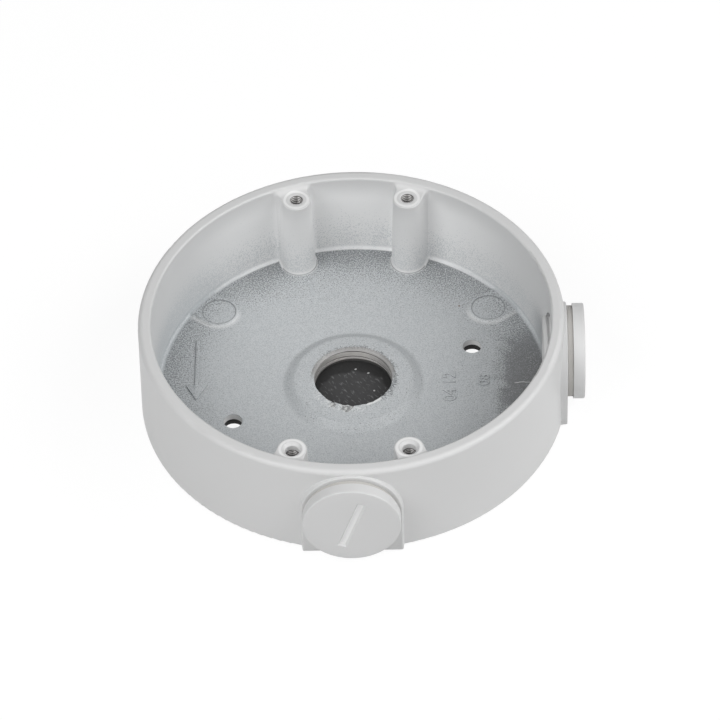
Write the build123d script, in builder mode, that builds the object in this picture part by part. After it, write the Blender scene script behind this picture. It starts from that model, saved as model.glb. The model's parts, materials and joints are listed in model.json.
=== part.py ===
from build123d import *
import math
import os

# Round surface-mount junction box that carries a dome camera: one die casting, open at the
# top, with a rubber gasket under it and two coin-slot plugs in its side entries.
# It stands on its gasket. Z runs up through the threaded centre hole, the two entries face
# +X and -Y, and the origin is the middle of the gasket's underside.
# Lengths are in millimetres and angles in degrees.

# Casting: wall, rim and floor
rim_diameter = 122.0
casting_height = 31.2
wall_draft = 1.1
rim_width = 3.75
rim_outer_round = 1.5
rim_inner_round = 0.7
foot_width = 4.1
foot_round = 0.6
floor_thickness = 2.1
floor_corner_round = 0.85

# Back gasket
gasket_thickness = 2.0
gasket_proud = 0.5
gasket_edge_gap = 0.3
gasket_hole_gap = 0.15

# Threaded centre hole and the raised ring round it
centre_hole_diameter = 24.0
centre_hole_chamfer = 0.3
ring_foot_diameter = 40.4
ring_slope_width = 2.9
ring_shoulder_height = 1.9
ring_height = 2.6
ring_blend = 2.0

# Tapped posts that take the camera's screws
post_spacing_x = 32.6
post_inset = 4.47
post_drop = 1.6
post_diameter = 8.4
post_draft = 1.8
post_web_round = 2.0
post_edge_round = 0.35
screw_hole_diameter = 4.0
screw_hole_depth = 14.0
screw_countersink_diameter = 5.6

# Wall screw holes through the floor
wall_hole_circle_diameter = 75.0
wall_hole_angle = 22.5
wall_hole_diameter = 5.5

# Ejector pads on the floor
ejector_inset = 7.02
ejector_angle = 37.0
ejector_pad_diameter = 12.0
ejector_pad_height = 0.4
ejector_pad_draft = 65.0
ejector_pin_diameter = 9.8
ejector_pin_depth = 0.12

# Side entries and their arched pads
entry_height = 15.7
entry_pad_proud = 0.1
entry_pad_margin = 0.4
entry_pad_draft = 8.0
entry_pad_round = 0.4
entry_relief_gap = 0.75
entry_relief_depth = 1.3

# Plugs and their seals
thread_diameter = 20.8
thread_gap = 0.05
shank_reach = 2.1
shank_chamfer = 0.6
core_diameter = 12.0
core_web = 2.4
head_diameter = 27.5
head_thickness = 3.3
head_round = 0.45
seal_diameter = 26.2
seal_thickness = 1.7
seal_round = 0.25
slot_length = 17.8
slot_width = 2.7
slot_depth = 1.1
slot_wall_slope = 35.0
slot_bottom_round = 0.4

# How far off a height an edge may lie and still be picked
pick_tolerance = 0.01

# Which way each entry faces from +X, and how far its plug's slot is turned
front_entry_angle = -90.0
front_slot_angle = -19.3
side_entry_angle = 0.0
side_slot_angle = 38.0
entries = [("front", front_entry_angle, front_slot_angle), ("side", side_entry_angle, side_slot_angle)]

# Heights and radii that follow from the sizes above
foot_z = gasket_proud
back_z = gasket_thickness
floor_z = back_z + floor_thickness
rim_z = foot_z + casting_height
post_z = rim_z - post_drop
entry_z = foot_z + entry_height
draft_slope = math.tan(math.radians(wall_draft))
rim_radius = rim_diameter / 2
foot_radius = rim_radius + casting_height * draft_slope
inner_rim_radius = rim_radius - rim_width
inner_floor_radius = inner_rim_radius - (rim_z - floor_z) * draft_slope
inner_entry_radius = inner_rim_radius - (rim_z - entry_z) * draft_slope
wall_middle_radius = rim_radius - rim_width / 2
recess_radius = foot_radius - foot_width
centre_radius = centre_hole_diameter / 2
ring_foot_radius = ring_foot_diameter / 2
ring_shoulder_radius = ring_foot_radius - ring_slope_width
post_circle_radius = inner_rim_radius - post_inset
post_angle = math.degrees(math.acos(post_spacing_x / 2 / post_circle_radius))
ejector_circle_radius = inner_floor_radius - ejector_inset
entry_radius = thread_diameter / 2 + thread_gap
pad_distance = foot_radius + entry_pad_proud
pad_half_width = head_diameter / 2 + entry_pad_margin
seal_face = pad_distance + seal_thickness
head_face = seal_face + head_thickness
shank_end = inner_entry_radius - shank_reach
post_angles = [post_angle, 180 - post_angle, 180 + post_angle, -post_angle]
ejector_angles = [ejector_angle, 180 - ejector_angle, 180 + ejector_angle, -ejector_angle]


def across_entry(distance, facing):
    """A plane square to an entry's axis, that far from the box's axis and facing outwards."""
    outwards = Vector(1, 0, 0).rotate(Axis.Z, facing)
    sideways = Vector(0, 1, 0).rotate(Axis.Z, facing)
    return Plane(outwards * distance + Vector(0, 0, entry_z), x_dir=sideways, z_dir=outwards)


def entry_axis(facing):
    """An entry's axis, pointing out of the box."""
    return Axis((0, 0, entry_z), Vector(1, 0, 0).rotate(Axis.Z, facing))


def radius_of(edge):
    """How far an edge's middle lies from the box's axis."""
    middle = edge.position_at(0.5)
    return math.hypot(middle.X, middle.Y)


def edges_at(part, axis, distance):
    """The edges of a part whose middles lie at one distance along an axis."""
    return part.edges().filter_by_position(axis, distance - pick_tolerance, distance + pick_tolerance)


def run_to_wall(circle_radius, turns, width):
    """In a sketch: round-ended strips on a circle, each run outwards past the wall's face."""
    for turn in turns:
        with PolarLocations(circle_radius, 1, start_angle=turn):
            Circle(width / 2)
            with Locations((rim_radius / 4, 0)):
                Rectangle(rim_radius / 2, width)


def places_on_circle(circle_radius, turns):
    """Places on a circle, one at each turn."""
    places = [Vector(circle_radius, 0).rotate(Axis.Z, turn) for turn in turns]
    return Locations(*places)


def save(part, name):
    """Label a finished piece and write it to its own file."""
    part.label = name
    export_step(part, f"parts/{name}.step")


# Casting
with BuildPart() as housing:
    # Wall, foot, floor and ring are one turned section, with the centre hole left open
    with BuildSketch(Plane.XZ) as section:
        with BuildLine():
            Polyline(
                (centre_radius, back_z),
                (recess_radius, back_z),
                (recess_radius, foot_z),
                (foot_radius, foot_z),
                (rim_radius, rim_z),
                (inner_rim_radius, rim_z),
                (inner_floor_radius, floor_z),
                (ring_foot_radius, floor_z),
                (ring_shoulder_radius, floor_z + ring_shoulder_height),
                (centre_radius, floor_z + ring_height),
                close=True,
            )
        make_face()
        for x, z, radius in [
            (rim_radius, rim_z, rim_outer_round),
            (inner_rim_radius, rim_z, rim_inner_round),
            (foot_radius, foot_z, foot_round),
            (ring_foot_radius, floor_z, ring_blend),
            (ring_shoulder_radius, floor_z + ring_shoulder_height, ring_blend),
        ]:
            fillet(section.vertices().sort_by_distance((x, z))[0], radius=radius)
        mouth = section.vertices().sort_by_distance((centre_radius, floor_z + ring_height))[0]
        chamfer(mouth, length=centre_hole_chamfer)
    revolve(axis=Axis.Z)

    # Posts for the camera's screws, webbed back into the wall
    with BuildSketch(Plane.XY.offset(post_z)):
        run_to_wall(post_circle_radius, post_angles, post_diameter)
        Circle(wall_middle_radius, mode=Mode.INTERSECT)
    extrude(amount=floor_z - post_z, taper=-post_draft)
    post_rims = edges_at(housing, Axis.Z, post_z).filter_by(
        lambda edge: edge.geom_type != GeomType.BSPLINE and radius_of(edge) < inner_floor_radius
    )
    fillet(post_rims, radius=post_edge_round)
    web_corners = housing.edges().filter_by(
        lambda edge: edge.bounding_box().size.Z > (post_z - floor_z) / 2
        and inner_floor_radius < radius_of(edge) < inner_rim_radius
        and abs(edge.center().Y) > post_circle_radius / 2
    )
    fillet(web_corners, radius=post_web_round)
    wall_foot = edges_at(housing, Axis.Z, floor_z).filter_by(
        lambda edge: radius_of(edge) > (inner_floor_radius + ring_foot_radius) / 2
    )
    fillet(wall_foot, radius=floor_corner_round)

    # Tapped holes in the posts
    with Locations(Plane.XY.offset(post_z)):
        with places_on_circle(post_circle_radius, post_angles):
            CounterSinkHole(
                radius=screw_hole_diameter / 2,
                counter_sink_radius=screw_countersink_diameter / 2,
                depth=screw_hole_depth,
                counter_sink_angle=90,
            )

    # Ejector pads, each run out to the wall, with a pin mark sunk in its top
    with BuildSketch(Plane.XY.offset(floor_z)):
        run_to_wall(ejector_circle_radius, ejector_angles, ejector_pad_diameter)
        Circle((inner_floor_radius + rim_radius) / 2, mode=Mode.INTERSECT)
    extrude(amount=ejector_pad_height, taper=ejector_pad_draft)
    with BuildSketch(Plane.XY.offset(floor_z + ejector_pad_height)):
        with places_on_circle(ejector_circle_radius, ejector_angles):
            Circle(ejector_pin_diameter / 2)
    extrude(amount=-ejector_pin_depth, mode=Mode.SUBTRACT)

    # Wall screw holes
    with Locations(Plane.XY.offset(floor_z)):
        with PolarLocations(wall_hole_circle_diameter / 2, 2, start_angle=wall_hole_angle):
            Hole(wall_hole_diameter / 2, depth=floor_thickness)

    # Side entries: an arched pad outside, a plain bore for the thread, and a relief inside
    pad_root = (inner_rim_radius + math.sqrt(rim_radius**2 - pad_half_width**2)) / 2
    relief_radius = entry_radius + entry_relief_gap
    relief_face = math.sqrt(inner_entry_radius**2 - relief_radius**2) + entry_relief_depth
    for _, facing, _ in entries:
        with BuildSketch(across_entry(pad_distance, facing)):
            Circle(pad_half_width)
            with Locations((0, -entry_height / 2)):
                Rectangle(2 * pad_half_width, entry_height)
        extrude(amount=pad_root - pad_distance, taper=-entry_pad_draft)
        split(bisect_by=Plane.XY.offset(foot_z))
        pad_outline = housing.edges().group_by(entry_axis(facing))[-1]
        fillet(pad_outline.sort_by(Axis.Z)[1:], radius=entry_pad_round)
        with BuildSketch(across_entry(pad_distance, facing)):
            Circle(entry_radius)
        extrude(amount=inner_floor_radius / 2 - pad_distance, mode=Mode.SUBTRACT)
        with BuildSketch(across_entry(relief_face, facing)):
            Circle(relief_radius)
        extrude(amount=inner_floor_radius / 2 - relief_face, mode=Mode.SUBTRACT)

# Gasket: a rubber disc in the back recess, closed under the centre hole
with BuildPart() as back_gasket:
    with BuildSketch():
        Circle(recess_radius - gasket_edge_gap)
        with PolarLocations(wall_hole_circle_diameter / 2, 2, start_angle=wall_hole_angle):
            Circle(wall_hole_diameter / 2 + gasket_hole_gap, mode=Mode.SUBTRACT)
    extrude(amount=gasket_thickness)

os.makedirs("parts", exist_ok=True)
save(housing.part, "housing")
save(back_gasket.part, "back_gasket")

# Plugs and their seals, one of each at every entry
for name, facing, slot_turn in entries:
    out = entry_axis(facing)

    with BuildPart() as seal:
        with BuildSketch(across_entry(pad_distance, facing)):
            Circle(seal_diameter / 2)
            Circle(entry_radius, mode=Mode.SUBTRACT)
        extrude(amount=seal_thickness)
        rings = seal.edges().filter_by(GeomType.CIRCLE)
        fillet(rings.filter_by(lambda edge: edge.radius > entry_radius + seal_round), radius=seal_round)

    with BuildPart() as plug:
        with BuildSketch(across_entry(seal_face, facing)):
            Circle(head_diameter / 2)
        extrude(amount=head_thickness)
        fillet(plug.edges().group_by(out)[-1], radius=head_round)
        with BuildSketch(across_entry(shank_end, facing)):
            Circle(thread_diameter / 2)
        extrude(amount=seal_face - shank_end)
        chamfer(plug.edges().group_by(out)[0], length=shank_chamfer)
        with BuildSketch(across_entry(shank_end, facing)):
            Circle(core_diameter / 2)
        extrude(amount=head_face - slot_depth - core_web - shank_end, mode=Mode.SUBTRACT)
        with BuildSketch(across_entry(head_face, facing)):
            with Locations(Rotation(0, 0, slot_turn)):
                Rectangle(slot_width, slot_length)
        extrude(amount=-slot_depth, taper=slot_wall_slope, mode=Mode.SUBTRACT)
        fillet(edges_at(plug, out, head_face - slot_depth), radius=slot_bottom_round)

    save(seal.part, f"{name}_seal")
    save(plug.part, f"{name}_plug")
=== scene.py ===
"""Looks of a die-cast camera junction box: powder coat, overspray, cut threads and rubber seals."""

import json
import math

import bmesh
import bpy
from mathutils import Matrix, Vector, noise


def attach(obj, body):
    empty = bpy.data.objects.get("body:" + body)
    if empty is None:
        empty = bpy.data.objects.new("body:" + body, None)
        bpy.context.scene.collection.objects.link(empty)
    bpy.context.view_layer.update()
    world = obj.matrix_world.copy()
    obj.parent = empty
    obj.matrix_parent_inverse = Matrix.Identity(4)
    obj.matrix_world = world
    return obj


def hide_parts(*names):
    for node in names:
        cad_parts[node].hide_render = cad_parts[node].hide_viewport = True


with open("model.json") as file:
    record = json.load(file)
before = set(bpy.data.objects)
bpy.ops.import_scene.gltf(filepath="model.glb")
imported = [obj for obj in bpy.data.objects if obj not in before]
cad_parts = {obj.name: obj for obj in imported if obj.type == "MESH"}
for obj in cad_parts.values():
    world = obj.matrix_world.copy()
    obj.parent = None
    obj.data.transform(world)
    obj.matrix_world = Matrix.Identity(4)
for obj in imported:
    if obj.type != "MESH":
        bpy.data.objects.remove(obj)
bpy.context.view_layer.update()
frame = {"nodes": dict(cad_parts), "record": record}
NODES = frame["nodes"]
MOUNTS = {mount["name"]: mount for mount in frame["record"]["mounts"]}

MM = 0.001

# Camera: a long lens above and in front, with the point it looks at
LENS_MM = 220.0
SENSOR_MM = 36.0
NEAR_CLIP = 0.01
FAR_CLIP = 20.0
CAMERA_AZIMUTH = 1.52
CAMERA_ELEVATION = 45.64
CAMERA_ROLL = -1.99
CAMERA_DISTANCE = 1266.7 * MM
CAMERA_TARGET = Vector((2.2, -2.2, 16.0)) * MM

# Soft boxes: azimuth from the front towards the right, elevation, and power in watts
LAMPS = {
    "front_left": (-50.0, 45.0, 9.9),
    "front_right": (50.0, 45.0, 5.4),
    "right": (95.0, 35.0, 7.8),
    "front_low": (0.0, 18.0, 2.3),
}
LAMP_SIZE = 0.9
LAMP_DISTANCE = 1.3
LAMP_TARGET = Vector((0, 0, 0.02))

# Half the width of the sheet under the box, in metres
STAGE_HALF = 4.0

# Sizes of the casting that its finish follows, in millimetres and degrees
BACK_Z = 2.0
FLOOR_Z = 4.1
RING_Z = 6.7
POST_Z = 30.1
INNER_RADIUS = 56.9
FLOOR_CORNER = 0.85
CORNER_START = INNER_RADIUS - 0.2 - FLOOR_CORNER
RING_FOOT_RADIUS = 20.4
RING_SHADE_RADIUS = 18.7
POST_X = MOUNTS["camera_screws"]["dims"]["spacing_x_mm"] / 2
POST_Y = MOUNTS["camera_screws"]["dims"]["spacing_y_mm"] / 2
SCREW_RADIUS = MOUNTS["camera_screws"]["dims"]["hole_r_mm"]
BORE_RADIUS = MOUNTS["centre_hole"]["dims"]["r_mm"]
FLAKY_RADIUS = 15.4
CHIPPED_RADIUS = 12.3
POST_CIRCLE = math.hypot(POST_X, POST_Y)
POST_ANGLE = math.degrees(math.atan2(POST_Y, POST_X))
POST_FOOT_RADIUS = 5.0
POST_BEAD_RADIUS = 3.4
EJECTOR_CIRCLE = 49.7
EJECTOR_ANGLE = 37.0
EJECTOR_X = EJECTOR_CIRCLE * math.cos(math.radians(EJECTOR_ANGLE))
EJECTOR_Y = EJECTOR_CIRCLE * math.sin(math.radians(EJECTOR_ANGLE))
EJECTOR_PAD_RADIUS = 6.0
PIN_MARK_RADIUS = 4.9

# Side entries and plugs, measured outwards from the box's axis
ENTRY_Z = 16.2
SHANK_END = 54.85
ENTRY_START = 57.14
PAD_FACE = 61.7
SEAL_FACE = 63.4
HEAD_FACE = 66.7
HEAD_RADIUS = 13.75
HEAD_ROUND = 0.45
HEAD_ROUND_STEPS = 4
SHANK_CHAMFER = 0.6
CORE_RADIUS = 6.0
CORE_END = 63.2
SLOT_WIDTH = 2.7
SLOT_LENGTH = 17.8
SLOT_DEPTH = 1.1
SLOT_WALL_SLOPE = 35.0
SLOT_BOTTOM_ROUND = 0.4

# Entries: name, directions sideways and outwards, and the turn of the plug's coin slot
ENTRIES = [("front", (1, 0, 0), (0, -1, 0), -19.3), ("side", (0, 1, 0), (1, 0, 0), 38.0)]

# Threads: the skin over one pitch, as radius and share of the pitch, and steps in a turn
PIPE_PITCH = 1.814
PLUG_CREST = 10.36
PLUG_THREAD = [(9.7, 0.0), (PLUG_CREST, 0.4), (PLUG_CREST, 0.6), (9.7, 1.0)]
PLUG_STEPS = 96
ENTRY_THREAD = [(10.05, 0.0), (10.45, 0.4), (10.45, 0.6), (10.05, 1.0)]
ENTRY_SKIN_RADIUS = 10.6
ENTRY_STEPS = 64
BORE_PITCH = 2.0
BORE_CREST = 11.3
BORE_THREAD = [(BORE_CREST, 0.0), (BORE_CREST, 0.78), (11.65, 0.9), (BORE_CREST, 1.0)]
BORE_PHASE = 0.75
BORE_STEPS = 96
BORE_MOUTH_Z = 6.0
BORE_SKIN_RADIUS = 12.15
SCREW_PITCH = 0.7
SCREW_CREST = 1.65
SCREW_THREAD = [(SCREW_CREST, 0.0), (SCREW_RADIUS, 0.5), (SCREW_CREST, 1.0)]
SCREW_STEPS = 24
SCREW_SKIN_RADIUS = 2.15
SCREW_START = 16.1
FRONT_SCREW_END = 27.6
BACK_SCREW_END = 29.9
SPARE_TURNS = 2

# Camera screw holes: name, sides of the box to the right and the back, and where the thread ends
SCREW_HOLES = [
    ("back_left", -1, 1, BACK_SCREW_END),
    ("back_right", 1, 1, BACK_SCREW_END),
    ("front_left", -1, -1, FRONT_SCREW_END),
    ("front_right", 1, -1, FRONT_SCREW_END),
]

# Collars round the mouths of the centre hole and the back screw holes, as radius and height
BORE_COLLAR = [(BORE_RADIUS + 0.36, RING_Z - 0.01), (BORE_SKIN_RADIUS, RING_Z - 0.5)]
SCREW_COLLAR = [(SCREW_SKIN_RADIUS, POST_Z + 0.06), (2.95, POST_Z + 0.06), (3.05, POST_Z - 0.05)]

# Lip of paint round the centre hole: its reach inwards, how ragged it is, and its lowest height
LIP_REACH = 0.15
LIP_RAGGED = 0.35
LIP_LOW_Z = BORE_MOUTH_Z + 0.1

# Marks raised on the floor
MARK_HEIGHT = 0.35
MARK_SINK = 0.1
ARROW_BASE = (-45.5, 18.0)
ARROW_LENGTH = 24.0
ARROW_HEAD_LENGTH = 6.0
ARROW_HALF_SHAFT = 0.6
ARROW_HALF_HEAD = 3.2
ARROW_EDGE = 0.12
NUMBERS = [("04 12", (28.0, -2.0), 5.2), ("08", (38.0, 0.5), 4.6)]
NUMBER_EDGE = 0.06

# Directions from the centre hole, in radians from the right towards the back
BACK_RIGHT = math.radians(45)
FRONT_RIGHT = -1.02
FRONT_LEFT = -1.95

# Single spots: torn paint with its reach, a scratch, a brown speck, chips on the gasket, and the middle
# of the gasket's painted reflection
TORN_PLACES = [((-1.6, -12.0), 2.6), ((-5.7, -10.8), 1.5)]
SCRATCH_X = 49.0
SCRATCH_Y = 0.3
BROWN_SPECK_PLACE = (31.1, 31.1, FLOOR_Z)
GASKET_CHIPS = [(0.6, 7.8, BACK_Z), (4.3, 6.1, BACK_Z), (6.0, -1.0, BACK_Z)]
GASKET_SHEEN_PLACE = (0.0, -4.2)

# Two heights nearer than this are the same, and edges sharper than this angle stay sharp
SAME_HEIGHT = 0.01
SHARP_ANGLE = 35.0

# Linear colours
WHITE = (1, 1, 1, 1)
PAINT = (0.680, 0.682, 0.682, 1)
PAINT_THICK_AND_LIT = (0.830, 0.832, 0.830, 1)
PAINT_BRIGHT = (0.900, 0.902, 0.900, 1)
PAINT_THIN = (0.570, 0.592, 0.605, 1)
PAINT_THINNER = (0.410, 0.435, 0.452, 1)
# Dark grey of overspray specks, also laid on as painted shade
SPECK_AND_SHADE_GREY = (0.185, 0.193, 0.200, 1)
WALL_SPECK = (0.440, 0.475, 0.495, 1)
CAST_METAL = (0.165, 0.165, 0.167, 1)
CUT_METAL = (0.740, 0.722, 0.700, 1)
CUT_WORN_AND_SHADE = (0.340, 0.335, 0.330, 1)
HOLE_SHADE = (0.022, 0.021, 0.021, 1)
CREST_GLINT = (0.420, 0.410, 0.400, 1)
BURR_DARK = (0.190, 0.190, 0.188, 1)
BURR_LIGHT = (0.840, 0.845, 0.840, 1)
GLINT_PALE = (0.850, 0.860, 0.870, 1)
BROWN_SPECK = (0.160, 0.100, 0.060, 1)
SEAL_GREY = (0.560, 0.545, 0.522, 1)
BORE_BROWN = (0.420, 0.370, 0.330, 1)
GASKET_AND_SHADE_BLACK = (0.006, 0.006, 0.006, 1)
GASKET_SHEEN_GREY = (0.038, 0.038, 0.039, 1)
GASKET_STREAK = (0.150, 0.151, 0.153, 1)
STAGE_PALE = (0.650, 0.650, 0.650, 1)
STAGE_GLOW = 1.13
STAGE_GLOW_SHARE = 0.8
PAINT_ROUGHNESS = 0.44


def add_node(tree, kind, settings=None, inputs=None):
    """Add a node: its settings first, then its sockets' values or links."""
    node = tree.nodes.new(kind)
    for name, value in (settings or {}).items():
        setattr(node, name, value)
    pairs = inputs.items() if isinstance(inputs, dict) else enumerate(inputs or [])
    for key, value in pairs:
        value = getattr(value, "socket", value)
        if isinstance(value, bpy.types.NodeSocket):
            tree.links.new(value, node.inputs[key])
        else:
            node.inputs[key].default_value = value
    return node


class Term:
    """A number that changes over a surface: arithmetic on it adds Math nodes."""

    def __init__(self, graph, socket):
        self.graph = graph
        self.socket = socket

    def math(self, operation, *others):
        return self.graph.term("ShaderNodeMath", {"operation": operation}, [self, *others])

    def __add__(self, other):
        return self.math("ADD", other)

    def __sub__(self, other):
        return self.math("SUBTRACT", other)

    def __mul__(self, other):
        return self.math("MULTIPLY", other)

    def __rsub__(self, other):
        return self.graph.term("ShaderNodeMath", {"operation": "SUBTRACT"}, [other, self])

    __radd__ = __add__
    __rmul__ = __mul__

    def ramp(self, start, end):
        """Rise smoothly from 0 at start to 1 at end; it falls where end is the lower one."""
        settings = {"interpolation_type": "SMOOTHSTEP"}
        return self.graph.term("ShaderNodeMapRange", settings, [self, start, end, 0.0, 1.0])

    def band(self, middle, half_width, edge):
        """1 within half_width of the middle, falling to 0 over the edge beyond it."""
        return (self - middle).absolute().ramp(half_width + edge, half_width)

    def absolute(self):
        return self.math("ABSOLUTE")

    def at_least(self, other):
        return self.math("MAXIMUM", other)

    def at_most(self, other):
        return self.math("MINIMUM", other)


def length(across, along):
    """Length of a flat vector from its two terms."""
    return (across * across + along * along).math("SQRT")


def speckle(grain, coverage):
    """Above 0 in specks where the grain is high, and in more of them where the coverage is."""
    return grain - 0.5 + (coverage - 0.5) * 0.45


class Graph:
    """The node tree of one material, in millimetres of the object's own coordinates."""

    def __init__(self, name):
        self.material = bpy.data.materials.new(name)
        self.material.use_nodes = True
        self.tree = self.material.node_tree
        self.tree.nodes.clear()
        coordinates = self.make("ShaderNodeTexCoord").outputs["Object"]
        scaled = self.make("ShaderNodeVectorMath", {"operation": "SCALE"}, {0: coordinates, 3: 1 / MM})
        self.point = scaled.outputs[0]
        split = self.make("ShaderNodeSeparateXYZ", {}, [self.point])
        self.x, self.y, self.z = [Term(self, socket) for socket in split.outputs]

    def make(self, kind, settings=None, inputs=None):
        return add_node(self.tree, kind, settings, inputs)

    def term(self, kind, settings, inputs, output=0):
        return Term(self, self.make(kind, settings, inputs).outputs[output])

    def distance(self, place):
        """Distance from a vertical line through the place, or from a point if it has three values."""
        if len(place) == 3:
            return self.term("ShaderNodeVectorMath", {"operation": "DISTANCE"}, [self.point, place], 1)
        offset = (place[0], place[1], 0.0)
        flat = self.make("ShaderNodeVectorMath", {"operation": "MULTIPLY"}, [self.point, (1, 1, 0)])
        return self.term("ShaderNodeVectorMath", {"operation": "DISTANCE"}, [flat.outputs[0], offset], 1)

    def run_gap(self, x, y, circle_radius, turn):
        """Distance from a line that starts on a circle and runs outwards, turned by an angle."""
        cosine = math.cos(math.radians(turn))
        sine = math.sin(math.radians(turn))
        out = (x * cosine + y * sine - circle_radius).at_most(0.0)
        return length(out, y * cosine - x * sine)

    def around(self, angle, radius, per_turn, per_mm):
        """Noise that runs in rays: waves in a turn, and waves in a millimetre outwards."""
        ray = self.make("ShaderNodeCombineXYZ", {}, [angle * (per_turn / math.tau), radius * per_mm, 0.0])
        inputs = {"Vector": ray.outputs[0], "Scale": 1.0, "Detail": 2.0, "Roughness": 0.6}
        return self.term("ShaderNodeTexNoise", {}, inputs)

    def noise(self, per_mm, detail=2.0, roughness=0.5, stretch=(1, 1, 1), turn=0.0):
        """Noise with that many waves in a millimetre."""
        settings = {"vector_type": "TEXTURE"}
        rotation = (0.0, 0.0, math.radians(turn))
        inverse = tuple(1 / share for share in stretch)
        inputs = {"Vector": self.point, "Rotation": rotation, "Scale": inverse}
        place = self.make("ShaderNodeMapping", settings, inputs).outputs[0]
        inputs = {"Vector": place, "Scale": per_mm, "Detail": detail, "Roughness": roughness}
        return self.term("ShaderNodeTexNoise", {}, inputs)

    def blend(self, base, over, factor):
        """One colour laid over another by a factor."""
        settings = {"data_type": "RGBA"}
        return self.make("ShaderNodeMix", settings, {0: factor, 6: base, 7: over}).outputs[2]

    def bump(self, height, depth_mm):
        """A normal from a height field whose full swing is depth_mm."""
        inputs = {"Strength": 1.0, "Distance": depth_mm * MM, "Height": height}
        return self.make("ShaderNodeBump", {}, inputs).outputs[0]

    def finish(self, **sockets):
        """End the tree in one principled shader."""
        inputs = {name.replace("_", " ").title(): value for name, value in sockets.items()}
        shader = self.make("ShaderNodeBsdfPrincipled", {}, inputs)
        self.make("ShaderNodeOutputMaterial", {}, [shader.outputs[0]])
        return self.material


class CastingGraph(Graph):
    """The casting's node tree, with the places and the noises that its looks share."""

    def __init__(self, name):
        super().__init__(name)
        self.measure()
        self.mask_floor_and_wall()
        self.mask_holes()
        self.grain = self.noise(2.7, 1.5, 0.6)
        self.patches = self.noise(0.10, 2.0)
        self.mottle = self.noise(0.45, 3.0, 0.55)
        self.rays = self.around(self.angle, self.radius, 130.0, 0.9)

    def measure(self):
        """Distances from the box's axis, the posts, the ejector pads and the screw holes."""
        self.radius = self.distance((0, 0))
        self.height = self.z - FLOOR_Z
        self.angle = self.term("ShaderNodeMath", {"operation": "ARCTAN2"}, [self.y, self.x])
        self.across_x = self.x.absolute()
        self.across_y = self.y.absolute()
        self.post_gap = self.run_gap(self.across_x, self.across_y, POST_CIRCLE, POST_ANGLE)
        self.pad_gap = self.run_gap(self.across_x, self.across_y, EJECTOR_CIRCLE, EJECTOR_ANGLE)
        self.pin_gap = length(self.across_x - EJECTOR_X, self.across_y - EJECTOR_Y)
        self.hole_gap = length(self.across_x - POST_X, self.across_y - POST_Y)

    def mask_floor_and_wall(self):
        """Inside of the box, its floor with the centre ring, and its wall with the posts."""
        wall_face = self.radius.ramp(INNER_RADIUS + 0.9, INNER_RADIUS + 0.5)
        self.inside = wall_face * self.height.ramp(-0.4, -0.2)
        self.on_ring = self.radius.ramp(RING_FOOT_RADIUS + 0.6, RING_FOOT_RADIUS)
        clear_of_wall = self.radius.ramp(CORNER_START + 0.1, CORNER_START - 0.5)
        clear_of_posts = self.post_gap.ramp(POST_FOOT_RADIUS + 0.3, POST_FOOT_RADIUS + 0.8)
        flat = self.height.ramp(0.62, 0.46) * clear_of_wall * clear_of_posts
        self.on_floor = flat.at_least(self.on_ring)
        self.on_wall = 1 - self.on_floor
        self.low_wall = self.height.ramp(20.0, 3.0) * (0.45 + 0.55 * self.height.ramp(0.6, 1.5))
        self.left_wall = self.x.ramp(-34.0, -54.0)

    def mask_holes(self):
        """Flaky paint round the centre hole, its cut metal, and the tapped screw holes."""
        self.on_top = self.radius.ramp(FLAKY_RADIUS + 0.1, FLAKY_RADIUS - 0.9)
        self.on_top = self.on_top * self.z.ramp(RING_Z - 0.5, RING_Z - 0.3)
        self.bore_edge = self.radius.ramp(FLAKY_RADIUS, BORE_CREST + 0.3)
        self.bore_side = self.angle.band(BACK_RIGHT, 1.0, 1.3)
        below_top = self.z.ramp(RING_Z - 0.14, RING_Z - 0.3).at_least(self.y.ramp(-2.0, 4.0))
        self.bore = self.radius.ramp(BORE_RADIUS + 0.42, BORE_RADIUS + 0.3) * below_top
        as_in_front = self.z - self.y.ramp(-1.0, 1.0) * (BACK_SCREW_END - FRONT_SCREW_END)
        below_thread_top = as_in_front.ramp(FRONT_SCREW_END + 0.1, FRONT_SCREW_END)
        self.tapped = self.hole_gap.ramp(SCREW_RADIUS + 0.3, SCREW_RADIUS + 0.2) * below_thread_top
        self.cut = self.bore.at_least(self.tapped)


def bare_patch(graph):
    """Metal that the spray did not reach, beside the right-hand entry."""
    ragged = graph.noise(0.22, 3.0, 0.6)
    patch = (graph.x + (ragged - 0.5) * 8.0).ramp(39.0, 52.0)
    patch = patch * graph.y.ramp(-22.0, -9.0) * graph.y.ramp(25.0, 4.0)
    thinned = (patch * (0.55 + 0.85 * ragged)).at_most(1.0)
    return thinned * graph.height.ramp(15.0, 7.0) * graph.inside


def floor_specks(graph, bare):
    """Overspray: dark speckle covers the floor's edge and thins towards the middle."""
    back = graph.y.ramp(-10.0, 35.0)
    left = graph.x.ramp(-18.0, -44.0)
    right = graph.x.ramp(16.0, 44.0)
    edge = graph.radius.ramp(36.0, 58.0)
    far_middle = graph.y.ramp(22.0, 40.0) * graph.x.band(0.0, 24.0, 12.0)
    on_pad = graph.pad_gap.ramp(EJECTOR_PAD_RADIUS, EJECTOR_PAD_RADIUS - 0.8)
    coverage = 0.09 + edge * (0.27 + 0.15 * back) - on_pad * 0.13 + graph.on_ring * 0.07
    coverage = coverage + left * edge * (0.24 - 0.16 * back)
    coverage = coverage + right * (1 - back * 0.3) * 0.15 + (graph.patches - 0.5) * 0.16
    coverage = coverage + far_middle * 0.16 + bare * 0.9
    specks = speckle(graph.grain, coverage).ramp(-0.05, 0.07)

    # Specks in rays round the centre hole, most of them at its back right
    ray_coverage = graph.bore_edge * (0.26 + 0.36 * graph.bore_side)
    ray_grain = graph.rays * 0.6 + graph.grain * 0.4
    ray_specks = speckle(ray_grain, ray_coverage).ramp(-0.04, 0.06)
    specks = specks.at_least(ray_specks * graph.bore_edge.ramp(0.0, 0.3))
    return specks * graph.on_floor * graph.inside


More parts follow.
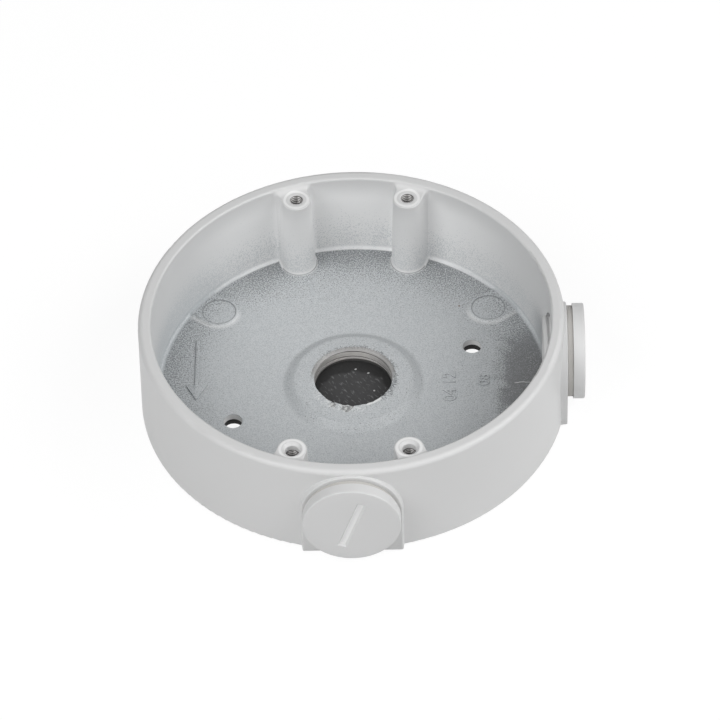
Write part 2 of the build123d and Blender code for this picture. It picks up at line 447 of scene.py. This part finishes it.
def lower_wall_specks(graph, bare):
    """Faint bluish specks on the lower half of the walls."""
    coverage = graph.low_wall * (0.26 + 0.5 * graph.patches + graph.left_wall * 0.25) + bare * 1.2
    specks = speckle(graph.grain, coverage).ramp(-0.05, 0.09)
    return specks * graph.on_wall * graph.inside


def coat_colour(graph):
    """Full paint with painted light on the far wall's upper part, and thin and bluish where less spray
    came.
    """
    far_wall = graph.y.ramp(28.0, 54.0) * 0.8
    near_wall = graph.on_wall * (1 - far_wall)
    foot_band = graph.height.ramp(1.9, 0.9)
    foot_band = foot_band * graph.post_gap.ramp(POST_FOOT_RADIUS + 0.6, POST_FOOT_RADIUS + 1.2)
    off_post = graph.post_gap.ramp(POST_FOOT_RADIUS + 0.1, POST_FOOT_RADIUS + 0.4)
    # Painted light: the far wall is lighter towards its top, and less so on the posts.
    painted_light_far_wall = graph.on_wall * far_wall * graph.height.ramp(27.0, 19.0) * (0.42 + 0.58 * off_post)
    thin = graph.on_floor * (0.75 + 0.35 * graph.mottle)
    thin = thin + near_wall * graph.low_wall * (0.12 + 0.3 * graph.left_wall)
    thin = (thin + near_wall * foot_band * (0.5 + 0.8 * graph.mottle)).at_most(1.0)
    fine = graph.noise(3.1, 2.0, 0.7)
    thin_colour = graph.blend(PAINT_THIN, PAINT_THINNER, fine.ramp(0.40, 0.66))
    colour = graph.blend(PAINT, PAINT_BRIGHT, painted_light_far_wall * graph.inside)
    return graph.blend(colour, thin_colour, thin * graph.inside)


def add_overspray(graph, colour, specks, wall_specks, bare):
    """Specks over the coat, and cast metal in the bare patch with paint dust and painted sheen."""
    colour = graph.blend(colour, WALL_SPECK, wall_specks * 0.5)
    colour = graph.blend(colour, SPECK_AND_SHADE_GREY, specks * 0.86)
    colour = graph.blend(colour, CAST_METAL, bare * 0.8)
    # Pale flecks on the bare metal: paint dust, with painted sheen that grows towards the back.
    dust_and_sheen = graph.noise(3.0, 2.0, 0.7).ramp(0.46, 0.68)
    dust_and_sheen = dust_and_sheen * (0.34 + 0.36 * graph.y.ramp(-2.0, 16.0))
    return graph.blend(colour, PAINT_THIN, dust_and_sheen * bare)


def add_floor_details(graph, colour):
    """A scratch, a brown speck, and soft shade at the ring's foot and beside the raised marks."""
    floor_inside = graph.on_floor * graph.inside
    waver = graph.noise(0.5, 1.0)
    scratch = (graph.y + waver * 1.6).band(SCRATCH_Y, 0.06, 0.14)
    scratch = scratch * graph.x.band(SCRATCH_X, 2.0, 0.5)
    colour = graph.blend(colour, PAINT_BRIGHT, scratch * floor_inside * 0.6)
    # Painted shade: a soft band at the ring's foot, and on the side walls of the raised marks.
    ring_foot = graph.radius.band(RING_SHADE_RADIUS, 0.8, 1.9) * graph.on_floor
    colour = graph.blend(colour, SPECK_AND_SHADE_GREY, ring_foot * 0.08)
    open_floor = graph.radius.ramp(53.0, 52.0) * graph.radius.ramp(21.5, 22.5)
    open_floor = open_floor * graph.pad_gap.ramp(7.5, 8.5)
    mark_side = graph.height.band(MARK_HEIGHT / 2 + 0.03, MARK_HEIGHT / 2 - 0.08, 0.04)
    colour = graph.blend(colour, SPECK_AND_SHADE_GREY, mark_side * open_floor * graph.inside * 0.75)
    brown = graph.distance(BROWN_SPECK_PLACE).ramp(0.42, 0.2)
    return graph.blend(colour, BROWN_SPECK, brown * 0.8)


def add_ejector_marks(graph, colour):
    """Thicker paint with a painted highlight on the front slopes of the ejector pads, and a fine dark
    line at the pin mark.
    """
    floor_inside = graph.on_floor * graph.inside
    # Painted highlight on the pads' slopes that face the front, over their thicker paint.
    front_slope = graph.y.ramp(EJECTOR_Y + 1.5, EJECTOR_Y - 2.5).at_least(graph.y.ramp(0.0, -1.0))
    thick_and_lit_halo = graph.pad_gap.band(EJECTOR_PAD_RADIUS + 0.1, 0.15, 0.9) * (0.5 + graph.mottle)
    colour = graph.blend(colour, PAINT_THICK_AND_LIT, thick_and_lit_halo * front_slope * floor_inside * 0.42)
    line = graph.pin_gap.band(PIN_MARK_RADIUS, 0.10, 0.16) * floor_inside
    return graph.blend(colour, SPECK_AND_SHADE_GREY, line * 0.62)


def torn_paint(graph):
    """Places at the mouth of the centre hole where the paint is torn off."""
    flakes = graph.noise(0.9, 4.0, 0.7)
    near = 0.0
    for place, reach in TORN_PLACES:
        near = graph.distance(place).ramp(reach, reach * 0.3).at_least(near)
    torn = (near + (flakes - 0.5) * 2.2).ramp(0.42, 0.58)
    return torn * graph.on_top * graph.radius.ramp(BORE_CREST - 0.1, BORE_CREST + 0.3)


def add_burrs(graph, colour, torn):
    """Dark torn paint with light edges, chips at the front left, and painted glints at the back right."""
    chips = graph.noise(1.3, 3.0, 0.7, turn=50.0)
    colour = graph.blend(colour, BURR_DARK, torn * 0.8)
    torn_edge = torn.band(0.45, 0.18, 0.22) * chips.ramp(0.35, 0.5)
    near_left = graph.angle.band(FRONT_LEFT, 0.55, 0.35)
    chipped = graph.radius.band(CHIPPED_RADIUS, 0.9, 0.9) * near_left * chips.ramp(0.50, 0.60)
    near_right = graph.angle.band(FRONT_RIGHT, 0.16, 0.1)
    lip = graph.radius.band(BORE_CREST + 0.3, 0.35, 0.4) * near_right
    light = torn_edge.at_least(chipped * 0.7).at_least(lip) * graph.on_top
    colour = graph.blend(colour, BURR_LIGHT, light.at_most(1.0) * 0.8)
    # Painted glints on bare metal flecks at the back right of the centre hole.
    painted_glints = graph.noise(1.9, 0.0).ramp(0.74, 0.78)
    painted_glints = painted_glints * graph.bore_edge * graph.bore_side * graph.on_top
    return graph.blend(colour, GLINT_PALE, painted_glints * 0.8)


def bore_colour(graph):
    """Cut metal of the centre hole: painted shade at both sides and in its grooves, worn at the mouth,
    and painted shade low down by the gasket.
    """
    swirl = graph.noise(0.6, 2.0, 0.5, stretch=(1, 1, 7))
    colour = graph.blend(CUT_METAL, BORE_BROWN, swirl.ramp(0.35, 0.75) * graph.x.ramp(4.0, -9.0) * 0.8)
    # Painted shade at both sides of the hole, where its wall turns away from the light.
    colour = graph.blend(colour, CUT_WORN_AND_SHADE, graph.across_x.ramp(3.0, 10.0) * 0.75)
    # Painted shade in the thread's grooves.
    groove = graph.radius.ramp(BORE_CREST + 0.005, BORE_CREST + 0.05)
    groove = groove * graph.z.ramp(BORE_MOUTH_Z - 0.02, BORE_MOUTH_Z - 0.06)
    colour = graph.blend(colour, HOLE_SHADE, groove * 0.9)
    at_mouth = graph.z.ramp(BORE_MOUTH_Z, BORE_MOUTH_Z + 0.15)
    colour = graph.blend(colour, CUT_WORN_AND_SHADE, at_mouth)
    wear_and_sheen = (graph.rays * 0.5 + graph.grain * 0.5).ramp(0.42, 0.54)
    wear_and_sheen = wear_and_sheen * at_mouth * graph.radius.ramp(BORE_CREST + 0.2, BORE_CREST + 0.8)
    colour = graph.blend(colour, BURR_DARK, wear_and_sheen * 0.7)
    # Painted shade on the lowest part of the thread, near the gasket.
    return graph.blend(colour, GASKET_AND_SHADE_BLACK, graph.z.ramp(BACK_Z + 1.1, BACK_Z + 0.7) * 0.85)


def add_screw_holes(graph, colour):
    """Painted shade in the tapped holes with painted glints on their crests, and a bead of thick paint
    with a painted highlight round each post's top.
    """
    # Painted shade inside the tapped holes, and painted glints on the thread crests.
    crest = graph.hole_gap.ramp(SCREW_CREST + 0.21, SCREW_CREST + 0.03)
    hole_colour = graph.blend(HOLE_SHADE, CREST_GLINT, crest)
    colour = graph.blend(colour, hole_colour, graph.tapped)
    # A bead of thick paint round each post's top, with a painted highlight standing in for its rise.
    lit_bead = graph.hole_gap.band(POST_BEAD_RADIUS, 0.2, 0.35) * graph.z.ramp(POST_Z - 0.5, POST_Z - 0.2)
    return graph.blend(colour, PAINT_BRIGHT, lit_bead * 0.8)


def casting_finish():
    """Powder coat outside; inside it thins to speckled overspray, and cut edges are bare metal."""
    graph = CastingGraph("casting_finish")
    bare = bare_patch(graph)
    specks = floor_specks(graph, bare)
    wall_specks = lower_wall_specks(graph, bare)
    torn = torn_paint(graph)
    colour = add_overspray(graph, coat_colour(graph), specks, wall_specks, bare)
    colour = add_floor_details(graph, colour)
    colour = add_ejector_marks(graph, colour)
    colour = add_burrs(graph, colour, torn)
    colour = graph.blend(colour, bore_colour(graph), graph.bore)
    colour = add_screw_holes(graph, colour)
    painted = 1 - graph.cut
    peel = graph.noise(0.9, 2.0)
    bumps = peel * 0.5 + (specks + wall_specks * 0.6) * 0.3 * painted + torn * 1.5
    return graph.finish(
        base_color=colour,
        metallic=graph.bore * 0.15 + graph.tapped * 0.3 + bare * 0.25 * painted,
        roughness=PAINT_ROUGHNESS - graph.cut * 0.10 + specks * 0.12,
        normal=graph.bump(bumps, depth_mm=0.02),
    )


def plug_finish():
    """Powder coat on the plugs, with fine orange peel, and a painted highlight along the slot's bottom.
    """
    graph = Graph("plug_finish")
    peel = graph.noise(0.9, 2.0)
    fine = graph.noise(3.0, 1.0)
    outwards = graph.x.at_least(graph.y * -1.0)
    across = graph.x.absolute().at_most(graph.y.absolute())
    from_axis = length(across, graph.z - ENTRY_Z)
    # Painted highlight along the bottom of the coin slot.
    painted_highlight_in_slot = outwards.ramp(HEAD_FACE - 0.55, HEAD_FACE - 0.95) * outwards.ramp(SEAL_FACE, SEAL_FACE + 1.0)
    colour = graph.blend(PAINT, PAINT_BRIGHT, painted_highlight_in_slot * from_axis.ramp(11.0, 10.0))
    normal = graph.bump(peel * 0.7 + fine * 0.3, depth_mm=0.01)
    return graph.finish(base_color=colour, roughness=PAINT_ROUGHNESS, normal=normal)


def seal_finish():
    """Pale grey rubber with a little dust."""
    graph = Graph("seal_finish")
    dust = graph.noise(1.2, 3.0)
    colour = graph.blend(SEAL_GREY, PAINT, dust.ramp(0.5, 0.9) * 0.3)
    return graph.finish(base_color=colour, roughness=0.7, normal=graph.bump(dust, depth_mm=0.02))


def gasket_finish():
    """Black rubber sheet with a painted reflection, grey under the centre hole, with fine pale streaks
    and a few chips.
    """
    graph = Graph("gasket_finish")
    weave = graph.noise(1.1, 3.0, 0.6)
    streaks = graph.noise(1.5, 3.0, 0.6, stretch=(1.0, 0.3, 1.0), turn=35.0)
    blotches = graph.noise(0.35, 2.0)
    # Painted reflection on the sheet under the centre hole: grey where it mirrors the light through the
    # hole, black in a crescent where it mirrors the far wall.
    wear_and_sheen = (graph.distance(GASKET_SHEEN_PLACE) + (blotches - 0.5) * 3.0).ramp(11.6, 10.2)
    wear_and_sheen = wear_and_sheen * graph.z.ramp(BACK_Z - 0.3, BACK_Z - 0.1)
    colour = graph.blend(GASKET_AND_SHADE_BLACK, GASKET_SHEEN_GREY, wear_and_sheen * (0.75 + 0.4 * blotches).at_most(1.0))
    colour = graph.blend(colour, GASKET_STREAK, streaks.ramp(0.54, 0.70) * (0.05 + 0.75 * wear_and_sheen))
    for place in GASKET_CHIPS:
        chip = (graph.distance(place) + (weave - 0.5) * 0.5).ramp(0.36, 0.2)
        colour = graph.blend(colour, PAINT, chip * 0.75)
    normal = graph.bump(weave, depth_mm=0.03)
    return graph.finish(base_color=colour, roughness=0.68 + 0.2 * weave, normal=normal)


def stage_finish():
    """White floor: the camera sees it white, and it keeps a faint shadow."""
    graph = Graph("stage_finish")
    path = graph.make("ShaderNodeLightPath")
    names = ("Is Camera Ray", "Is Glossy Ray", "Is Transmission Ray")
    camera, glossy, through = [Term(graph, path.outputs[name]) for name in names]
    factor = (camera + glossy + through).at_most(1.0) * STAGE_GLOW_SHARE
    diffuse = graph.make("ShaderNodeBsdfDiffuse", {}, {"Color": STAGE_PALE})
    glow = graph.make("ShaderNodeEmission", {}, {"Color": WHITE, "Strength": STAGE_GLOW})
    mixed = graph.make("ShaderNodeMixShader", {}, [factor, diffuse.outputs[0], glow.outputs[0]])
    graph.make("ShaderNodeOutputMaterial", {}, [mixed.outputs[0]])
    return graph.material


def dress(piece, material):
    """Give a piece one material."""
    piece.data.materials.clear()
    piece.data.materials.append(material)


def new_piece(name, mesh, material, body="box"):
    """A finished mesh becomes a piece that rides on a body."""
    piece = bpy.data.objects.new(name, mesh)
    bpy.context.scene.collection.objects.link(piece)
    dress(piece, material)
    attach(piece, body)
    return piece


def mesh_from(shape, name, place=Matrix.Identity(4)):
    """A mesh in metres from a closed shape in millimetres, set in its place."""
    bmesh.ops.recalc_face_normals(shape, faces=shape.faces)
    mesh = bpy.data.meshes.new(name)
    shape.to_mesh(mesh)
    shape.free()
    mesh.transform(Matrix.Scale(MM, 4) @ place)
    mesh.shade_smooth()
    mesh.set_sharp_from_angle(angle=math.radians(SHARP_ANGLE))
    return mesh


def round_edges(shape, edges, size, segments):
    """Bevel some edges to a rounding."""
    bmesh.ops.bevel(
        shape, geom=edges, offset=size, segments=segments, profile=0.5, affect="EDGES", material=-1
    )


def spin_thread(profile, pitch, start, end, steps, phase=0.0):
    """A right-handed thread's skin up the Z axis, cut square at both ends."""
    shape = bmesh.new()
    first = (math.floor(start / pitch) - SPARE_TURNS + phase) * pitch
    turns = math.ceil((end - start) / pitch) + 2 * SPARE_TURNS
    line = [shape.verts.new((radius, 0, first + share * pitch)) for radius, share in profile]
    edges = [shape.edges.new(pair) for pair in zip(line, line[1:])]
    hair = pitch / 1000
    bmesh.ops.spin(
        shape,
        geom=line + edges,
        cent=(0, 0, 0),
        axis=(0, 0, 1),
        dvec=(0, 0, pitch / steps),
        angle=math.tau * turns,
        steps=steps * turns,
    )
    bmesh.ops.remove_doubles(shape, verts=shape.verts, dist=2 * hair)
    for height, facing in ((start, -1), (end, 1)):
        everything = shape.verts[:] + shape.edges[:] + shape.faces[:]
        bmesh.ops.bisect_plane(
            shape,
            geom=everything,
            dist=hair,
            plane_co=(0, 0, height),
            plane_no=(0, 0, facing),
            clear_outer=True,
        )
    return shape


def open_outline(shape, height):
    """The open edges of a shape at one height."""
    return [
        edge
        for edge in shape.edges
        if edge.is_boundary and all(abs(vert.co.z - height) < SAME_HEIGHT for vert in edge.verts)
    ]


def put_at(vert, radius, height):
    """Move a vertex to a radius and a height, on its own side of the axis."""
    flat = vert.co.xy.normalized() * radius
    vert.co = (flat.x, flat.y, height)


def carry_outline(shape, outline, *circles):
    """Extrude an open outline onto circles in turn, each a radius and a height, and give the last."""
    for radius, height in circles:
        made = bmesh.ops.extrude_edge_only(shape, edges=outline)["geom"]
        moved = {item for item in made if isinstance(item, bmesh.types.BMVert)}
        for vert in moved:
            put_at(vert, radius, height)
        outline = [
            item
            for item in made
            if isinstance(item, bmesh.types.BMEdge) and moved.issuperset(item.verts)
        ]
    return outline


def closed_line(shape, corners):
    """Edges round a row of corners."""
    verts = [shape.verts.new(corner) for corner in corners]
    return [shape.edges.new((verts[i - 1], verts[i])) for i in range(len(verts))]


def make_bore_thread(material):
    """The threaded skin of the centre hole, with a ragged lip of paint on its near side."""
    shape = spin_thread(BORE_THREAD, BORE_PITCH, BACK_Z, BORE_MOUTH_Z, BORE_STEPS, BORE_PHASE)
    lower = carry_outline(shape, open_outline(shape, BACK_Z), (BORE_SKIN_RADIUS, BACK_Z))
    lip = carry_outline(shape, open_outline(shape, BORE_MOUTH_Z), (BORE_CREST, RING_Z))
    for vert in {vert for edge in lip for vert in edge.verts}:
        side = vert.co.y / BORE_RADIUS
        near_side = max(0.0, -side) ** 0.5
        far_side = max(0.0, min(1.0, 0.3 + side))
        ragged = noise.noise(vert.co * 0.9) + 0.6 * noise.noise(vert.co * 2.3)
        radius = BORE_CREST + (LIP_REACH + LIP_RAGGED * ragged) * near_side
        put_at(vert, radius, RING_Z - (RING_Z - LIP_LOW_Z) * far_side)
    upper = carry_outline(shape, lip, *BORE_COLLAR)
    bmesh.ops.bridge_loops(shape, edges=lower + upper)
    new_piece("bore_thread", mesh_from(shape, "bore_thread"), material)


def make_screw_threads(material):
    """The tapped skin of each camera screw hole, with a countersink in the back posts."""
    for hole, side_x, side_y, end in SCREW_HOLES:
        name = f"{hole}_screw_thread"
        shape = spin_thread(SCREW_THREAD, SCREW_PITCH, SCREW_START, end, SCREW_STEPS)
        lower = carry_outline(shape, open_outline(shape, SCREW_START), (SCREW_SKIN_RADIUS, SCREW_START))
        upper = open_outline(shape, end)
        if end == BACK_SCREW_END:
            upper = carry_outline(shape, upper, *SCREW_COLLAR)
        upper = carry_outline(shape, upper, (SCREW_SKIN_RADIUS, FRONT_SCREW_END - 0.1))
        bmesh.ops.bridge_loops(shape, edges=lower + upper)
        place = Matrix.Translation((side_x * POST_X, side_y * POST_Y, 0))
        new_piece(name, mesh_from(shape, name, place), material)


def entry_place(sideways, outwards):
    """From an entry's own frame, with Z outwards, to the box's."""
    turn = Matrix((sideways, (0, 0, 1), outwards)).transposed().to_4x4()
    return Matrix.Translation((0, 0, ENTRY_Z)) @ turn


def make_entry_thread(entry, place, material):
    """The tapped skin of a side entry."""
    name = f"{entry}_entry_thread"
    shape = spin_thread(ENTRY_THREAD, PIPE_PITCH, ENTRY_START, PAD_FACE, ENTRY_STEPS)
    ends = []
    for height in (ENTRY_START, PAD_FACE):
        ends += carry_outline(shape, open_outline(shape, height), (ENTRY_SKIN_RADIUS, height))
    bmesh.ops.bridge_loops(shape, edges=ends)
    new_piece(name, mesh_from(shape, name, place), material)


def slot_corners(turn, shrink, height):
    """Corners of the coin slot at one height, its walls drawn in by shrink."""
    wide = Vector((math.cos(turn), math.sin(turn), 0)) * (SLOT_WIDTH / 2 - shrink)
    long = Vector((-math.sin(turn), math.cos(turn), 0)) * (SLOT_LENGTH / 2 - shrink)
    lift = Vector((0, 0, height))
    return [lift + wide + long, lift - wide + long, lift - wide - long, lift + wide - long]


def cut_coin_slot(shape, rim, turn):
    """Close a plug's head inside its rim, with a groove with sloped walls across it."""
    shrink = SLOT_DEPTH * math.tan(math.radians(SLOT_WALL_SLOPE))
    mouth = closed_line(shape, slot_corners(turn, 0.0, HEAD_FACE))
    bottom = closed_line(shape, slot_corners(turn, shrink, HEAD_FACE - SLOT_DEPTH))
    bmesh.ops.triangle_fill(shape, use_beauty=True, edges=rim + mouth)
    bmesh.ops.bridge_loops(shape, edges=mouth + bottom)
    bmesh.ops.contextual_create(shape, geom=bottom)
    round_edges(shape, bottom, SLOT_BOTTOM_ROUND, 3)


def head_edge():
    """Circles of a plug's head, from the seal up its side and over its rounded edge."""
    circles = [(HEAD_RADIUS, SEAL_FACE)]
    for step in range(HEAD_ROUND_STEPS + 1):
        turn = math.radians(90) * step / HEAD_ROUND_STEPS
        inwards = HEAD_ROUND * (1 - math.cos(turn))
        below_face = HEAD_ROUND * (1 - math.sin(turn))
        circles.append((HEAD_RADIUS - inwards, HEAD_FACE - below_face))
    return circles


def make_plug(entry, place, slot_turn, material):
    """A screw plug: threaded shank with a hollow core, and a round head with a coin slot."""
    name = f"{entry}_threaded_plug"
    shape = spin_thread(PLUG_THREAD, PIPE_PITCH, SHANK_END, SEAL_FACE, PLUG_STEPS)
    for vert in shape.verts:
        limit = PLUG_CREST - SHANK_CHAMFER + max(0.0, vert.co.z - SHANK_END)
        if vert.co.xy.length > limit:
            put_at(vert, limit, vert.co.z)
    core_circles = [(CORE_RADIUS, SHANK_END), (CORE_RADIUS, CORE_END)]
    core = carry_outline(shape, open_outline(shape, SHANK_END), *core_circles)
    bmesh.ops.contextual_create(shape, geom=core)
    rim = carry_outline(shape, open_outline(shape, SEAL_FACE), *head_edge())
    cut_coin_slot(shape, rim, math.radians(slot_turn))
    piece = new_piece(name, mesh_from(shape, name, place), material, f"{entry}_plug")
    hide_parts(f"{entry}_plug")


def make_arrow(material):
    """A plain raised arrow on the floor, pointing to the front, from a few corners."""
    base_x, base_y = ARROW_BASE
    tip = base_y - ARROW_LENGTH
    neck = tip + ARROW_HEAD_LENGTH
    right_side = [
        (base_x + ARROW_HALF_SHAFT, base_y),
        (base_x + ARROW_HALF_SHAFT, neck),
        (base_x + ARROW_HALF_HEAD, neck),
    ]
    left_side = [(2 * base_x - x, y) for x, y in reversed(right_side)]
    corners = [*right_side, (base_x, tip), *left_side]
    shape = bmesh.new()
    face = shape.faces.new([shape.verts.new((x, y, FLOOR_Z - MARK_SINK)) for x, y in corners])
    made = bmesh.ops.extrude_face_region(shape, geom=[face])["geom"]
    top = [item for item in made if isinstance(item, bmesh.types.BMVert)]
    bmesh.ops.translate(shape, verts=top, vec=(0, 0, MARK_HEIGHT + MARK_SINK))
    lowest = FLOOR_Z + MARK_HEIGHT - SAME_HEIGHT
    upper = [edge for edge in shape.edges if all(vert.co.z > lowest for vert in edge.verts)]
    round_edges(shape, upper, ARROW_EDGE, 2)
    new_piece("floor_arrow", mesh_from(shape, "floor_arrow"), material)


def make_numbers(material):
    """Plain raised numbers on the floor, read from the right-hand side."""
    turn = Matrix.Rotation(math.radians(90), 4, "Z")
    for index, (text, middle, size) in enumerate(NUMBERS, start=1):
        curve = bpy.data.curves.new(f"number_{index}", "FONT")
        curve.body = text
        curve.align_x = "CENTER"
        curve.align_y = "CENTER"
        curve.size = size
        curve.extrude = MARK_HEIGHT - NUMBER_EDGE
        curve.bevel_depth = NUMBER_EDGE
        curve.bevel_resolution = 1
        curve.resolution_u = 4
        words = bpy.data.objects.new(f"number_{index}", curve)
        mesh = bpy.data.meshes.new_from_object(words)
        bpy.data.objects.remove(words)
        mesh.transform(Matrix.Scale(MM, 4) @ Matrix.Translation((*middle, FLOOR_Z)) @ turn)
        new_piece(f"floor_numbers_{index}", mesh, material)


def towards(azimuth, elevation, distance):
    """A place that far off, at an azimuth from the front towards the right and an elevation."""
    azimuth = math.radians(azimuth)
    elevation = math.radians(elevation)
    flat = math.cos(elevation)
    return Vector((math.sin(azimuth) * flat, -math.cos(azimuth) * flat, math.sin(elevation))) * distance


def place_camera():
    """Look at the box from the photograph's direction."""
    back = towards(CAMERA_AZIMUTH, CAMERA_ELEVATION, CAMERA_DISTANCE)
    camera = bpy.data.objects.new("camera", bpy.data.cameras.new("camera"))
    camera.data.lens = LENS_MM
    camera.data.sensor_width = SENSOR_MM
    camera.data.clip_start = NEAR_CLIP
    camera.data.clip_end = FAR_CLIP
    turn = (-back).to_track_quat("-Z", "Y").to_matrix().to_4x4()
    roll = Matrix.Rotation(math.radians(CAMERA_ROLL), 4, "Z")
    camera.matrix_world = Matrix.Translation(CAMERA_TARGET + back) @ turn @ roll
    bpy.context.scene.collection.objects.link(camera)
    bpy.context.scene.camera = camera


def light_studio():
    """Soft boxes in front and at the right."""
    for name, (azimuth, elevation, power) in LAMPS.items():
        light = bpy.data.lights.new(name, "AREA")
        light.shape = "SQUARE"
        light.size = LAMP_SIZE
        light.energy = power
        lamp = bpy.data.objects.new(name, light)
        lamp.location = towards(azimuth, elevation, LAMP_DISTANCE)
        lamp.rotation_euler = (LAMP_TARGET - lamp.location).to_track_quat("-Z", "Y").to_euler()
        bpy.context.scene.collection.objects.link(lamp)


def hang_tent():
    """A tent round the studio that is white for the camera and for gloss, and sheds no light."""
    world = bpy.data.worlds.new("studio")
    bpy.context.scene.world = world
    world.use_nodes = True
    tree = world.node_tree
    tree.nodes.clear()
    rays = add_node(tree, "ShaderNodeLightPath").outputs
    seen_by = [rays["Is Camera Ray"], rays["Is Glossy Ray"]]
    seen = add_node(tree, "ShaderNodeMath", {"operation": "MAXIMUM"}, seen_by).outputs[0]
    tent = add_node(tree, "ShaderNodeBackground", {}, {"Color": WHITE, "Strength": seen})
    add_node(tree, "ShaderNodeOutputWorld", {}, {"Surface": tent.outputs[0]})


def lay_floor():
    """A white sheet that the box stands on."""
    mesh = bpy.data.meshes.new("stage_floor")
    shape = bmesh.new()
    bmesh.ops.create_grid(shape, x_segments=1, y_segments=1, size=STAGE_HALF)
    shape.to_mesh(mesh)
    shape.free()
    floor = bpy.data.objects.new("stage_floor", mesh)
    bpy.context.scene.collection.objects.link(floor)
    dress(floor, stage_finish())


place_camera()
light_studio()
hang_tent()
lay_floor()

casting_paint = casting_finish()
plug_paint = plug_finish()
seal_rubber = seal_finish()
dress(NODES["housing"], casting_paint)
dress(NODES["back_gasket"], gasket_finish())
make_bore_thread(casting_paint)
make_screw_threads(casting_paint)
make_arrow(casting_paint)
make_numbers(casting_paint)

for entry, sideways, outwards, slot_turn in ENTRIES:
    place = entry_place(sideways, outwards)
    dress(NODES[f"{entry}_seal"], seal_rubber)
    make_entry_thread(entry, place, casting_paint)
    make_plug(entry, place, slot_turn, plug_paint)

bpy.context.scene.view_settings.view_transform = "Standard"
